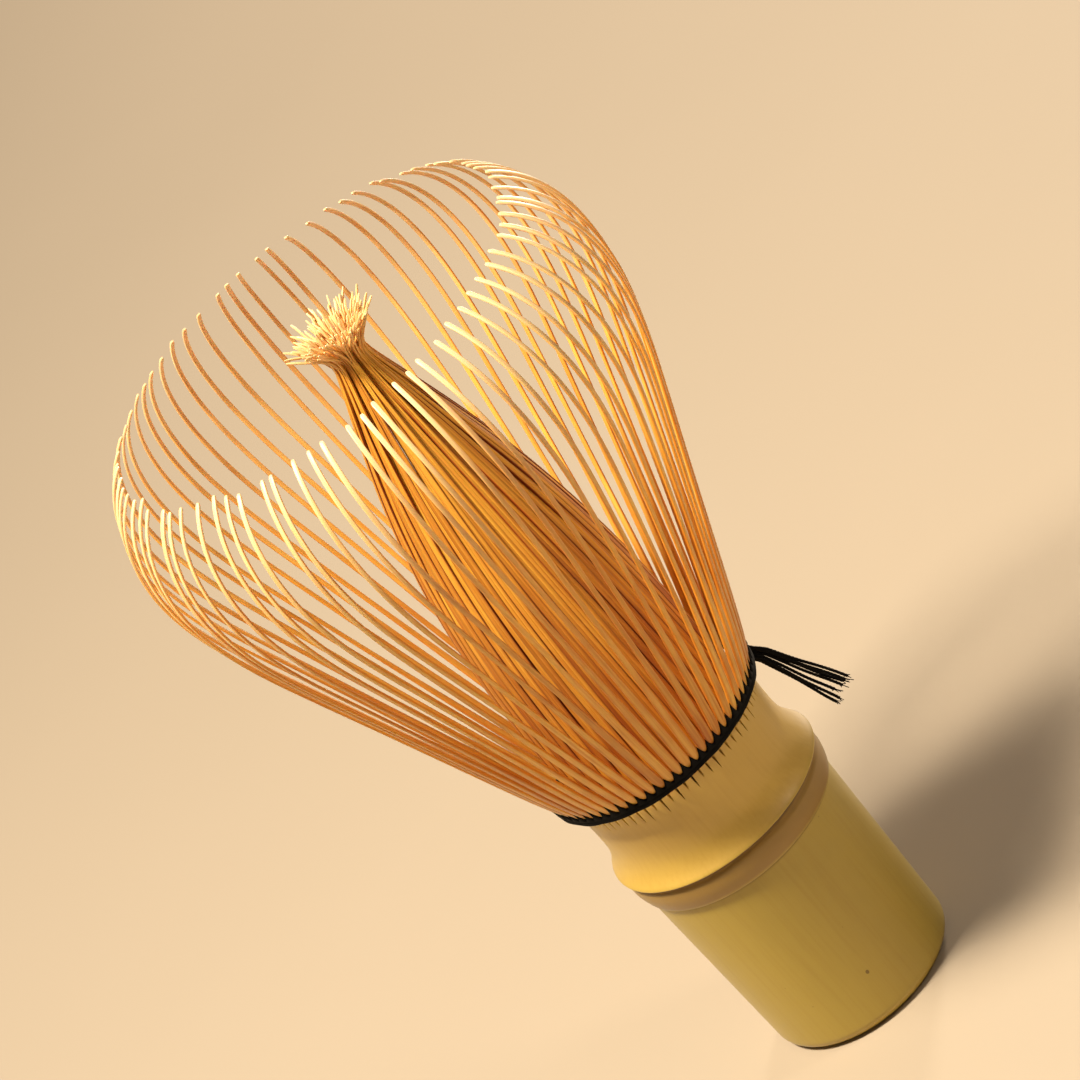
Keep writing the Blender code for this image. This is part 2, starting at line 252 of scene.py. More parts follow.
class Finish:
    """One material: constants go straight on the Principled shader, and fields are linked to it."""

    def __init__(self, name, **constants):
        self.material = bpy.data.materials.new(name)
        self.material.use_nodes = True
        self.tree = self.material.node_tree
        self.shader = self.tree.nodes["Principled BSDF"]
        for socket, value in constants.items():
            self.constant(socket.replace("_", " "), value)

    def constant(self, socket, value):
        """A value that is the same all over goes on the shader's own socket."""
        self.shader.inputs[socket].default_value = value

    def node(self, kind, settings, values, output=0):
        """Add any node: its settings first, then the values or links of its sockets by name or place."""
        node = self.tree.nodes.new(kind)
        for setting, value in settings.items():
            setattr(node, setting, value)
        for socket, value in values.items():
            feed(self.tree, node.inputs[socket], value)
        return Field(self.tree, node.outputs[output])

    def mark(self, name, output="Fac"):
        """An attribute that the mesh carries."""
        return self.node("ShaderNodeAttribute", {"attribute_name": name}, {}, output)

    def place(self, scale=(1.0, 1.0, 1.0)):
        """Object coordinates, stretched by a Mapping node."""
        raw = self.node("ShaderNodeTexCoord", {}, {}, "Object")
        return self.node("ShaderNodeMapping", {}, {"Vector": raw, "Scale": scale})

    def noise(self, where, detail, roughness=0.55):
        """Soft noise, one cell to each unit of the stretched place that it is given."""
        values = {"Vector": where, "Scale": 1.0, "Detail": detail, "Roughness": roughness}
        return self.node("ShaderNodeTexNoise", {}, values)

    def stretch(self, vector, scale):
        """A vector multiplied share by share."""
        return self.node("ShaderNodeVectorMath", {"operation": "MULTIPLY"}, {0: vector, 1: scale})

    def mix(self, first, second, share):
        """A colour between two, by a field's value."""
        values = {"Factor": share, 6: first, 7: second}
        return self.node("ShaderNodeMix", {"data_type": "RGBA"}, values, 2)

    def tint(self, base, colour, share):
        """The base colour multiplied by another where share is 1."""
        values = {"Factor": share, 6: base, 7: colour}
        return self.node("ShaderNodeMix", {"data_type": "RGBA", "blend_type": "MULTIPLY"}, values, 2)

    def bump(self, height, depth, strength):
        """Feed the shader's Normal from a height field; depth is in metres."""
        values = {"Height": height, "Distance": depth, "Strength": strength}
        self.wear("Normal", self.node("ShaderNodeBump", {}, values))

    def wear(self, socket, value):
        """Link what changes over the surface to one of the shader's sockets."""
        feed(self.tree, self.shader.inputs[socket], value)


print("shader helpers ready")

# %% [markdown]
# ## Bamboo, thread and floor finishes
#
# Bamboo has three faces here. The skin of the culm is hard, olive-yellow and slightly glossy, with faint
# lengthwise fibres and a few dark specks. A tine is shaved from just under that skin, so it is golden, and
# it pales to cream at the tip where the wood is thinnest. The inner tines are softer wood, orange-brown,
# with painted shade along their edges, so that each reads by itself in the bundle. Noise on object
# coordinates suits the culm, because its fibres run straight up: a high scale across and a low one along
# draws them.

# %% Make the skin of the culm
def rgb(red, green, blue):
    """Screen colour, 0 to 255, as linear values with alpha."""
    screen = np.array([red, green, blue]) / 255.0
    linear = np.where(screen <= 0.04045, screen / 12.92, ((screen + 0.055) / 1.055) ** 2.4)
    return (*linear.tolist(), 1.0)


NODE_LOW_Z, NODE_HIGH_Z = 27.9 * MM, 32.4 * MM
COLOUR_EDGE = 0.5 * MM
FIBRE_DEPTH = 0.02 * MM
HANDLE_OLIVES = (rgb(168, 144, 54), rgb(182, 156, 64))
NECK_GOLDS = (rgb(202, 164, 74), rgb(214, 178, 86))
# The node colour is partly the ring's own brown and partly painted shade from the lip above it.
NODE_BROWN_AND_SHADE = rgb(142, 104, 44)
# The groove and slit tints are painted shade; the fibre and speck tints are the skin's own marks.
FIBRE_TINT, GROOVE_SHADE_TINT = rgb(232, 214, 178), rgb(96, 64, 36)
SPECK_TINT, SLIT_SHADE_TINT = rgb(120, 84, 50), rgb(110, 66, 24)


def skin_finish():
    """Olive below the node, golden above, brown and painted shade on it, darker specks, painted shade in
    grooves and slits.
    """
    skin = Finish("bamboo_skin", Roughness=0.4, Coat_Weight=0.35, Coat_Roughness=0.22)
    height = skin.node("ShaderNodeSeparateXYZ", {}, {"Vector": skin.place()}, "Z")
    cloud = skin.noise(skin.place((70.0, 70.0, 22.0)), 2.0)
    fibre = skin.noise(skin.place((1900.0, 1900.0, 24.0)), 3.0, 0.6)
    fleck = skin.noise(skin.place((900.0, 900.0, 620.0)), 1.0)
    speck = fleck.rise(0.80, 0.82)
    above_node = height.rise(NODE_HIGH_Z - COLOUR_EDGE, NODE_HIGH_Z + COLOUR_EDGE)
    handle = skin.mix(*HANDLE_OLIVES, cloud)
    neck = skin.mix(*NECK_GOLDS, cloud)
    colour = skin.mix(handle, neck, above_node)
    colour = skin.tint(colour, FIBRE_TINT, fibre.rise(0.45, 0.75) * 0.25)
    in_node = height.rise(NODE_LOW_Z, NODE_LOW_Z + COLOUR_EDGE)
    in_node = in_node * (1.0 - height.rise(NODE_HIGH_Z - 0.3 * MM, NODE_HIGH_Z))
    # The node ring's brown: partly its own colour, partly painted shade from the lip above.
    colour = skin.mix(colour, NODE_BROWN_AND_SHADE, in_node * (0.55 + 0.4 * cloud))
    # Painted shade: darker in the groove under the lip and at the step above the handle.
    colour = skin.tint(colour, GROOVE_SHADE_TINT, skin.mark("groove_shade") * 0.85)
    colour = skin.tint(colour, SPECK_TINT, speck * 0.7)
    # Painted shade: the skin is darkened inside each slit by the slit's depth share.
    colour = skin.tint(colour, SLIT_SHADE_TINT, skin.mark("slit"))
    skin.wear("Base Color", colour)
    skin.wear("Roughness", 0.36 + 0.16 * cloud)
    skin.bump(fibre + cloud * 0.5, FIBRE_DEPTH, 0.4)
    return skin.material


SKIN = skin_finish()
print("culm skin", len(SKIN.node_tree.nodes), "nodes")

# %% [markdown]
# The tines share one recipe with different colours. Three marks that each tine's mesh carries drive it:
# `along` runs from 0 at the thread to 1 at the tip, `edge` is 1 on the two narrow sides, and `tone` gives
# each tine its own shade. A fourth, `grain`, is a flat map of the tine, so that fibres run along the curl.
# Light soaks a little way into wood this thin, and a weak subsurface scatter of warm light stands for it.

# %% Make the tine finishes
SOAK_DEPTH = 0.6 * MM
SOAK_COLOUR = (1.0, 0.45, 0.08)
FIBRE_WOOD_TINT, CLOUD_WOOD_TINT = rgb(216, 166, 84), rgb(226, 184, 108)


def tine_finish(name, shades, pale_from, side_shade, roughness):
    """Shades are the deep, body and pale colours; side_shade is painted shade multiplied on the two narrow
    sides.
    """
    deep, body, pale = shades
    tine = Finish(name, Roughness=roughness, Coat_Weight=0.08, Coat_Roughness=0.3)
    tine.constant("Subsurface Weight", 0.2)
    tine.constant("Subsurface Scale", SOAK_DEPTH)
    tine.constant("Subsurface Radius", SOAK_COLOUR)
    along, edge, tone = tine.mark("along"), tine.mark("edge"), tine.mark("tone")
    grain = tine.mark("grain", "Vector")
    fibre = tine.noise(tine.stretch(grain, (3000.0, 3000.0, 90.0)), 2.0, 0.6)
    cloud = tine.noise(tine.stretch(grain, (300.0, 300.0, 90.0)), 2.0)
    colour = tine.mix(deep, body, (along.rise(0.0, 0.5) * 0.4 + tone * 0.8).clamped())
    colour = tine.mix(colour, pale, along.rise(pale_from, 1.0) ** 1.5)
    # Painted shade on the two narrow sides, fading out before the tip.
    colour = tine.tint(colour, side_shade, edge * (1.0 - along.rise(0.8, 0.95)))
    colour = tine.tint(colour, FIBRE_WOOD_TINT, fibre.rise(0.42, 0.7) * (0.65 - 0.35 * along))
    colour = tine.tint(colour, CLOUD_WOOD_TINT, cloud.rise(0.45, 0.8) * (1.0 - along))
    tine.wear("Base Color", colour)
    tine.wear("Roughness", roughness - 0.08 + 0.2 * fibre)
    return tine.material


OUTER_SHADES = (rgb(208, 148, 56), rgb(240, 190, 88), rgb(254, 220, 170))
INNER_SHADES = (rgb(170, 90, 12), rgb(234, 172, 60), rgb(250, 218, 162))
OUTER_WOOD = tine_finish("outer_tine_wood", OUTER_SHADES, 0.5, rgb(246, 216, 150), 0.4)
# The inner tines' dark side colour is painted shade between the strands.
INNER_WOOD = tine_finish("inner_tine_wood", INNER_SHADES, 0.92, rgb(146, 78, 22), 0.46)
print("tine woods", OUTER_WOOD.name, "and", INNER_WOOD.name)

# %% [markdown]
# Thread is matt black cotton. Black hides nearly all of its surface, so the finish is only a fine fuzz in
# colour and relief. The plies are real shape and come later, from the way a cord is made.

# %% Make the thread finish
FUZZ_DEPTH = 0.03 * MM


def thread_finish():
    """Two near blacks and a small relief from one fine noise."""
    thread = Finish("black_thread", Roughness=0.8, Specular_IOR_Level=0.15)
    fuzz = thread.noise(thread.place((9000.0, 9000.0, 9000.0)), 2.0)
    thread.wear("Base Color", thread.mix(rgb(3, 3, 4), rgb(12, 11, 11), fuzz))
    thread.bump(fuzz, FUZZ_DEPTH, 0.5)
    return thread.material


THREAD = thread_finish()
print("thread finish", THREAD.name)

# %% [markdown]
# ## Floor
#
# A large pale sheet stands for the studio table. It is much wider than the view, so no edge shows.

# %% Lay the floor
def floor_finish():
    """A matt pale surface with a hardly visible cloud."""
    stone = Finish("pale_floor", Roughness=0.75)
    cloud = stone.noise(stone.place((6.0, 6.0, 6.0)), 3.0)
    stone.wear("Base Color", stone.mix(rgb(172, 156, 136), rgb(179, 163, 143), cloud))
    return stone.material


FLOOR_HALF = 4.0
floor_mesh = bpy.data.meshes.new("floor")
corners = np.array([(-1, -1, 0), (1, -1, 0), (1, 1, 0), (-1, 1, 0)]) * FLOOR_HALF
floor_mesh.from_pydata(corners.tolist(), [], [(0, 1, 2, 3)])
floor = bpy.data.objects.new("floor", floor_mesh)
bpy.context.scene.collection.objects.link(floor)
floor_mesh.materials.append(floor_finish())
print("floor", 2 * FLOOR_HALF, "m wide")

# %% [markdown]
# ## Surfaces from arrays
#
# Every new piece is an array of points with four axes: which strip, which row along it, which column round
# it, and x, y, z. One helper turns such an array into closed tubes. Neighbouring rows are joined by quads,
# the columns close on themselves, and each end gets one cap. Marks are arrays of the same shape, stored
# on the points for the materials to read.

# %% Make meshes from point arrays
def tube_mesh(name, points, marks, material, smooth_angle=np.radians(50.0)):
    """Closed tubes: points[strip, row, column]. Column order runs anticlockwise seen from the far end."""
    strips, rows, columns, _ = points.shape
    index = np.arange(strips * rows * columns).reshape(strips, rows, columns)
    here, beside = index[:, :-1], np.roll(index, -1, axis=2)[:, :-1]
    above, beyond = index[:, 1:], np.roll(index, -1, axis=2)[:, 1:]
    quads = np.stack([here, beside, beyond, above], axis=-1).reshape(-1, 4)
    caps = index[:, 0, ::-1].tolist() + index[:, -1].tolist()
    mesh = bpy.data.meshes.new(name)
    mesh.from_pydata(points.reshape(-1, 3).tolist(), [], quads.tolist() + caps)
    for mark, values in marks.items():
        kind = "FLOAT_VECTOR" if values.ndim == 4 else "FLOAT"
        slot = mesh.attributes.new(mark, kind, "POINT")
        key = "vector" if values.ndim == 4 else "value"
        slot.data.foreach_set(key, np.ascontiguousarray(values, np.float32).ravel())
    mesh.shade_smooth()
    mesh.set_sharp_from_angle(angle=smooth_angle)
    mesh.materials.append(material)
    mesh.validate()
    piece = bpy.data.objects.new(name, mesh)
    bpy.context.scene.collection.objects.link(piece)
    return piece


def polar(radius, angle, height):
    """Points at a distance from the whisk's axis, at an angle round it and at a height."""
    radius, angle, height = np.broadcast_arrays(radius, angle, height)
    return np.stack([radius * np.cos(angle), radius * np.sin(angle), height], axis=-1)


def smooth(share):
    """Slow start and slow end: 3 s^2 - 2 s^3, after clipping to 0..1."""
    share = np.clip(share, 0.0, 1.0)
    return share * share * (3.0 - 2.0 * share)


print("surface helpers ready")

# %% [markdown]
# ## Culm
#
# The culm is a turned shape, so it is a profile of radii and heights carried round the axis: flat foot,
# rounded edge, nearly straight handle, the raised node ring, a sharp lip, and the concave neck. The slits
# that separate the tines run down from the thread as narrow wedges. The columns of the grid are laid along
# their edges, and the columns inside a wedge are pushed in, so each slit is real depth; the skin is also
# painted darker in the slits as shade.

# %% Draw the culm's outline
BASE_RADIUS = 12.8 * MM
HANDLE_TOP_RADIUS = 13.62 * MM
BORE_RADIUS = 9.0 * MM
BASE_EDGE = 1.8 * MM
SEPTUM_LOW, SEPTUM_HIGH = 28.35 * MM, 31.35 * MM
HOLLOW_RADIUS = 12.2 * MM
LIP_Z = 32.42 * MM
WAIST_RADIUS, NECK_WAIST_Z = 13.25 * MM, 37.8 * MM
NECK_TOP_RADIUS = 13.55 * MM
SLIT_LENGTH = 2.7 * MM
LIP_EDGE = 0.14 * MM

# The node ring from below, each run as two (radius, height) ends and its bulge, in millimetres
HANDLE_END = ((HANDLE_TOP_RADIUS / MM, 27.5), (HANDLE_TOP_RADIUS / MM + 0.02, 27.78), -0.02)
LEDGE = ((13.80, 27.84), (14.02, 28.02), 0.05)
BELLY = ((14.10, 28.2), (14.50, 31.0), 0.16)
SHOULDER = ((14.46, 31.15), (14.26, 31.6), 0.02)
GROOVE = ((14.23, 31.8), (14.22, 32.2), -0.03)
LIP_UNDERSIDE = ((14.26, 32.32), (14.80, 32.27), 0.0)


def arc_points(centre, radius, start, end, count):
    """Points on a circle in the profile plane, as (radius, height), between two angles in degrees."""
    turn = np.radians(np.linspace(start, end, count))
    return np.stack([centre[0] + radius * np.cos(turn), centre[1] + radius * np.sin(turn)], axis=-1)


def curve_points(low, high, bulge, count):
    """A straight run from low to high plus a sine arch of the given bulge."""
    share = np.linspace(0.0, 1.0, count)[:, None]
    run = np.array(low) + (np.array(high) - np.array(low)) * share
    run[:, 0] += bulge * np.sin(np.pi * share[:, 0])
    return run


def ring_points(run, count):
    """One run of the node ring's outline."""
    low, high, bulge = run
    return curve_points(np.array(low) * MM, np.array(high) * MM, bulge * MM, count)


def neck_points(low, high, count):
    """The carved neck: from its waist the radius grows by a power of the height both ways."""
    height = np.linspace(low, high, count)
    down = np.clip((NECK_WAIST_Z - height) / (NECK_WAIST_Z - LIP_Z), 0.0, None)
    up = np.clip((height - NECK_WAIST_Z) / (NECK_TOP_Z - NECK_WAIST_Z), 0.0, None)
    flare = (COLLAR_RADIUS + 0.05 * MM - WAIST_RADIUS) * down ** 2.3
    return np.stack([WAIST_RADIUS + flare + (NECK_TOP_RADIUS - WAIST_RADIUS) * up ** 2, height], axis=-1)


def culm_profile():
    """The whole outline in order: septum, bore, foot, handle, node ring, lip, neck, hollow, septum."""
    parts = [
        np.array([(0.02 * MM, SEPTUM_LOW), (0.6 * BORE_RADIUS, SEPTUM_LOW)]),
        curve_points((BORE_RADIUS, SEPTUM_LOW), (BORE_RADIUS, 0.25 * MM), 0.0, 8),
        np.array([(BORE_RADIUS + 0.25 * MM, 0.0), (BASE_RADIUS - BASE_EDGE - 0.1 * MM, 0.0)]),
        arc_points((BASE_RADIUS - BASE_EDGE, BASE_EDGE), BASE_EDGE, -85.0, 0.0, 10),
        curve_points((BASE_RADIUS + 0.01 * MM, 2.3 * MM), (HANDLE_TOP_RADIUS, 27.3 * MM), 0.0, 16),
        ring_points(HANDLE_END, 3),
        ring_points(LEDGE, 4),
        ring_points(BELLY, 14),
        ring_points(SHOULDER, 5),
        ring_points(GROOVE, 4),
        ring_points(LIP_UNDERSIDE, 4),
        arc_points((COLLAR_RADIUS - LIP_EDGE, LIP_Z), LIP_EDGE, -70.0, 20.0, 6),
        neck_points(LIP_Z + 0.15 * MM, NECK_TOP_Z - SLIT_LENGTH, 30),
        neck_points(NECK_TOP_Z - 0.97 * SLIT_LENGTH, NECK_TOP_Z, 16),
        np.array([(HOLLOW_RADIUS + 0.1 * MM, NECK_TOP_Z), (HOLLOW_RADIUS, NECK_TOP_Z - 0.1 * MM)]),
        curve_points((HOLLOW_RADIUS, NECK_TOP_Z - 1.0 * MM), (HOLLOW_RADIUS, SEPTUM_HIGH), 0.0, 5),
        np.array([(0.5 * HOLLOW_RADIUS, SEPTUM_HIGH), (0.02 * MM, SEPTUM_HIGH)]),
    ]
    return np.concatenate(parts)


print("culm outline", len(culm_profile()), "points")

# %% [markdown]
# The turning itself is one grid: the outline's points are its rows, and its columns go round. Real bamboo
# is never quite round, and its node ring is never quite level, so two slow waves are added.

# %% Turn the culm
SLIT_WIDTH = 0.26 * MM
SLIT_TIP_WIDTH = 0.03 * MM
SLIT_DEPTH = 0.9 * MM
LAND_COLUMNS = (0.2, 0.4, 0.6, 0.8)
SLIT_COLUMN_DEPTHS = (0.0, 0.75, 1.0, 0.75, 0.0)
# Where the painted shade lies: in the groove under the lip and at the step above the handle.
UPPER_SHADE_Z, UPPER_SHADE_REACH = 31.98 * MM, 0.20 * MM
LOWER_SHADE_Z, LOWER_SHADE_REACH = 27.75 * MM, 0.14 * MM
RING_WAVE_Z, RING_WAVE_REACH = 31.4 * MM, 0.7 * MM
RING_WAVE_HEIGHT = 0.10 * MM


def bell(height, middle, reach):
    """1 at the middle, falling off as exp(-distance^2 / reach^2)."""
    return np.exp(-((height - middle) / reach) ** 2)


def slit_grid(radius, height):
    """Angle and depth share, [row, column], of a grid whose columns follow the edges of every slit.

    Each pitch has columns at the middle of its slit, on the two edges, just past them, and across the
    land between. The edges lie at plus and minus half the slit's width at that height. A slit's own
    random share of its length is missing, so that the slits end at different heights.
    """
    down = np.clip((height - (NECK_TOP_Z - SLIT_LENGTH)) / SLIT_LENGTH, 0.0, 1.0)
    outside = (radius > HOLLOW_RADIUS + 0.5 * MM) & (height > NECK_TOP_Z - SLIT_LENGTH)
    half = np.maximum(SLIT_WIDTH * down ** 0.8, SLIT_TIP_WIDTH) / (2 * NECK_TOP_RADIUS)
    past = half * 1.4
    across = past + (TINE_PITCH - 2 * past) * np.array(LAND_COLUMNS)[None, :]
    pattern = np.concatenate([-past, -half, 0.0 * half, half, past, across], axis=1)
    dip = np.array(SLIT_COLUMN_DEPTHS + (0.0,) * len(LAND_COLUMNS))
    starts = TINE_PITCH * np.arange(TINE_COUNT)
    missing = np.random.default_rng(5).uniform(0.0, 0.5, TINE_COUNT)
    angle = (starts[None, :, None] + pattern[:, None, :]).reshape(len(height), -1)
    cut = np.clip((down - missing[None, :]) * 2.0, 0.0, 1.0) * outside
    cut = (cut[:, :, None] * dip[None, None, :]).reshape(len(height), -1)
    return angle, cut


def turn_culm():
    """radius(angle, row) = profile radius, out of round by a little, less the depth of the slits."""
    profile = culm_profile()
    radius, height = profile[:, 0][:, None], profile[:, 1][:, None]
    angle, cut = slit_grid(radius, height)
    oval = 1.0 + 0.004 * np.cos(2 * angle + 0.6) + 0.002 * np.cos(3 * angle)
    near_axis = np.clip(radius / BORE_RADIUS, 0.0, 1.0)
    ring_wave = RING_WAVE_HEIGHT * bell(height, RING_WAVE_Z, RING_WAVE_REACH)
    wave = ring_wave * (np.sin(3 * angle + 1.0) + 0.5 * np.sin(7 * angle))
    round_radius = radius * (1.0 + (oval - 1.0) * near_axis) - cut * SLIT_DEPTH
    # Painted shade: a dark line in the groove under the lip and a weaker one at the step above the handle,
    # only where the skin lies inside the lip.
    groove_shade = bell(height, UPPER_SHADE_Z, UPPER_SHADE_REACH) + 0.7 * bell(height, LOWER_SHADE_Z, LOWER_SHADE_REACH)
    groove_shade = np.broadcast_to(groove_shade * (radius < COLLAR_RADIUS - 0.12 * MM), angle.shape)
    return polar(round_radius, angle, height + wave)[None], {"slit": cut[None], "groove_shade": groove_shade[None]}


points, culm_marks = turn_culm()
culm = tube_mesh("bamboo_culm", points, culm_marks, SKIN, np.radians(40.0))
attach(culm, "handle")
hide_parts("culm")
print("culm grid", points.shape[1:3])

# %% [markdown]
# ## Outer tines
#
# A tine is a thin flat strip, so it is a small section carried along a middle line. The section is a
# rounded rectangle of a dozen points, which keeps hundreds of strips light. The same two functions serve
# the outer and the inner tines: one carries the section, and the other makes the marks for the material.

# %% Carry a section along tines
SECTION_COLUMNS = 12
SECTION_SQUARENESS = 0.42
TIP_START = 0.993
STRIP_SPACING = 10.0 * MM


def section_loop():
    """A rounded rectangle as (across, depth) shares: a circle whose cosine and sine are flattened."""
    turn = 2 * np.pi * (np.arange(SECTION_COLUMNS) + 0.5) / SECTION_COLUMNS
    across = np.sign(np.cos(turn)) * np.abs(np.cos(turn)) ** SECTION_SQUARENESS
    depth = np.sign(np.sin(turn)) * np.abs(np.sin(turn)) ** SECTION_SQUARENESS
    return across, depth


def strip_points(radius, height, slope, angle, width, thickness, twist):
    """Carry the section along middle lines. All inputs are [strip, row].

    A point is the middle line, plus `across` times the sideways direction, plus `depth` times the
    direction that stands off the strip. Twist turns both about the line.
    """
    across, depth = section_loop()
    centre = polar(radius, angle, height)
    side = np.stack([-np.sin(angle), np.cos(angle), 0 * angle], axis=-1)
    out = np.stack([np.cos(slope) * np.cos(angle), np.cos(slope) * np.sin(angle), -np.sin(slope)], axis=-1)
    cosine, sine = np.cos(twist)[..., None], np.sin(twist)[..., None]
    side, out = side * cosine + out * sine, out * cosine - side * sine
    wide = (width / 2)[..., None, None] * across[None, None, :, None]
    deep = (thickness / 2)[..., None, None] * depth[None, None, :, None]
    return centre[:, :, None, :] + wide * side[:, :, None, :] - deep * out[:, :, None, :]


def strip_marks(strips, length, along, tone, width, border):
    """The marks of a set of strips: along, edge, tone and the flat grain map in metres.

    Border is the share of the half width, at the edge, over which the edge mark rises to 1. On the
    grain map the strips lie a centimetre apart, so that no two show the same fibres.
    """
    across, depth = section_loop()
    shape = (strips, along.shape[1], SECTION_COLUMNS)
    edge = np.broadcast_to(np.clip((np.abs(across) - 1.0 + border) / border, 0.0, 1.0), shape)
    grain = np.zeros(shape + (3,))
    grain[..., 0] = across * width[..., None] / 2 + np.arange(strips)[:, None, None] * STRIP_SPACING
    grain[..., 1] = depth * 0.2 * MM
    grain[..., 2] = along[..., None] * length
    marks = {"along": np.broadcast_to(along[..., None], shape), "edge": edge}
    marks["tone"] = np.broadcast_to(tone[:, None, None], shape)
    marks["grain"] = grain
    return marks


def tip_rounding(share):
    """The section shrinks by a quarter circle over the last of the tine, down to half its size."""
    late = np.clip((share - TIP_START) / (1.0 - TIP_START), 0.0, 1.0)
    return np.sqrt(1.0 - 0.75 * late ** 2)


print("section of", SECTION_COLUMNS, "columns")

# %% [markdown]
# The middle line of an outer tine leaves the thread at the flare angle, stays straight, and then its slope
# falls by a power of the distance along the curl, so the tip curls hardest. Adding up sines and cosines
# of the slope gives radius and height. At the thread the tine is pressed out a little more steeply, over
# the first few millimetres. Hand-split bamboo is never even, so every tine gets its own small sideways
# drift, curl and length. All the tines are worked out together as arrays.

# %% Work out the outer tines
FLARE_ANGLE = np.radians(20.5)
FLARE_LENGTH = 37.7 * MM
CURL_ANGLE = np.radians(75.4)
CURL_LENGTH = 35.7 * MM
CURL_POWER = 2.42
ROOT_BEND = np.radians(9.0)
ROOT_BEND_REACH = 3.0 * MM
FOOT = 0.9 * MM
OUTER_ROWS = 58
OUTER_ROOT_WIDTH, OUTER_TIP_WIDTH = 1.12, 0.62
OUTER_ROOT_THICKNESS, OUTER_THINNING = 0.56, 0.20


def running_sum(steps):
    """Sums along each row that start at nothing."""
    return np.append(np.zeros((len(steps), 1)), np.cumsum(steps, axis=1), axis=1)


def outer_lines(rows):
    """Radius, height, slope, angle and share along, each [tine, row], with each tine's own variation."""
    rng = np.random.default_rng(11)
    total = FLARE_LENGTH + CURL_LENGTH
    tip_rows = [0.9965, 0.9990, 1.0]
    share = np.append(np.linspace(0.0, TIP_START, rows - len(tip_rows)) ** 0.9, tip_rows)
    length = total * (1.0 + rng.uniform(-0.004, 0.003, TINE_COUNT))
    along = (length[:, None] + FOOT) * share[None, :] - FOOT
    curled = np.clip(along - FLARE_LENGTH, 0.0, None) / CURL_LENGTH
    flare = FLARE_ANGLE + np.radians(rng.normal(0.0, 0.16, TINE_COUNT))[:, None]
    curl = CURL_ANGLE * (1.0 + rng.normal(0.0, 0.012, TINE_COUNT))[:, None]
    slope = flare - curl * curled ** CURL_POWER + ROOT_BEND * np.exp(-np.abs(along) / ROOT_BEND_REACH)
    step = np.diff(along, axis=1)
    middle = (slope[:, 1:] + slope[:, :-1]) / 2
    radius = ROOT_RADIUS - FOOT * np.sin(FLARE_ANGLE) + running_sum(np.sin(middle) * step)
    height = ROOT_Z - FOOT * np.cos(FLARE_ANGLE) + running_sum(np.cos(middle) * step)
    drift = np.radians(rng.normal(0.0, 0.85, TINE_COUNT))[:, None] * smooth(share)[None, :]
    bow = np.radians(rng.normal(0.0, 0.35, TINE_COUNT))[:, None] * np.sin(np.pi * share)[None, :]
    angle = ((np.arange(TINE_COUNT) + 0.5) * TINE_PITCH)[:, None] + drift + bow
    return radius, height, slope, angle, np.broadcast_to(share, angle.shape), rng


radius, height, slope, angle, share, rng = outer_lines(OUTER_ROWS)
outer_width = OUTER_ROOT_WIDTH + (OUTER_TIP_WIDTH - OUTER_ROOT_WIDTH) * smooth(share / 0.42)
outer_width = (outer_width - 0.04 * share) * MM
outer_width = outer_width * (0.78 + 0.22 * smooth(share / 0.05))
outer_width = outer_width * (1.0 + rng.normal(0.0, 0.05, TINE_COUNT))[:, None]
outer_width = outer_width * tip_rounding(share)
outer_thickness = (OUTER_ROOT_THICKNESS - OUTER_THINNING * smooth(share / 0.4)) * MM * tip_rounding(share)
outer_twist = np.radians(rng.normal(0.0, 7.0, TINE_COUNT))[:, None] * smooth(share / 0.7)
outer_points = strip_points(radius, height, slope, angle, outer_width, outer_thickness, outer_twist)
outer_tone = rng.random(TINE_COUNT)
outer_length = FLARE_LENGTH + CURL_LENGTH
outer_marks = strip_marks(TINE_COUNT, outer_length, share, outer_tone, outer_width, border=0.2)
print("outer tines reach %.1f mm out and %.1f mm up" % (radius.max() / MM, height.max() / MM))

# %% [markdown]
# The tines of one split are one piece, because they flex together. The split's body turns about a hinge at
# the thread, but the piece does not follow it: it is baked in place as it is made, and the split's own
# solid is hidden.


def part_of(marks, rows):
    """The marks of some of the strips."""
    return {name: values[rows] for name, values in marks.items()}


def split_rows(split, strips_per_split):
    """Which strips belong to a split."""
    return slice(split * strips_per_split, (split + 1) * strips_per_split)


for split, node in enumerate(SPLITS):
    rows = split_rows(split, TINES_PER_SPLIT)
    name = "outer_tines_%02d" % (split + 1)
    piece = tube_mesh(name, outer_points[rows], part_of(outer_marks, rows), OUTER_WOOD)
    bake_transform(piece)
    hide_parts(node)
print("outer pieces", len(SPLITS))

# %% [markdown]
# ## Inner tines
#
# The inner tines rise just inside the outer ones. A quarter of a cosine brings them in to a tight waist,
# and past it the fine ends flare out like a brush. Their waists lie at different depths, because they
# cannot all share one circle, and the whole bundle drifts a little to one side. Each tine is made of two
# half strips side by side: they look like one as far as the waist, and part in the brush.

# %% Work out the inner tines' lines
INNER_ROOT_RADIUS = 12.45 * MM
WAIST_Z = RIM_Z - 6.0 * MM
BRUSH_TOP_Z = RIM_Z - 1.3 * MM
WAIST_POWER = 1.4
LEAN = 2.4 * MM
INNER_ROWS = 64
HALVES = 2
WAIST_RADIUS_MOST = 2.45
WAIST_SETTLE = 0.04
BRUSH_RADIUS = 6.6 * MM
BRUSH_POWER = 1.35


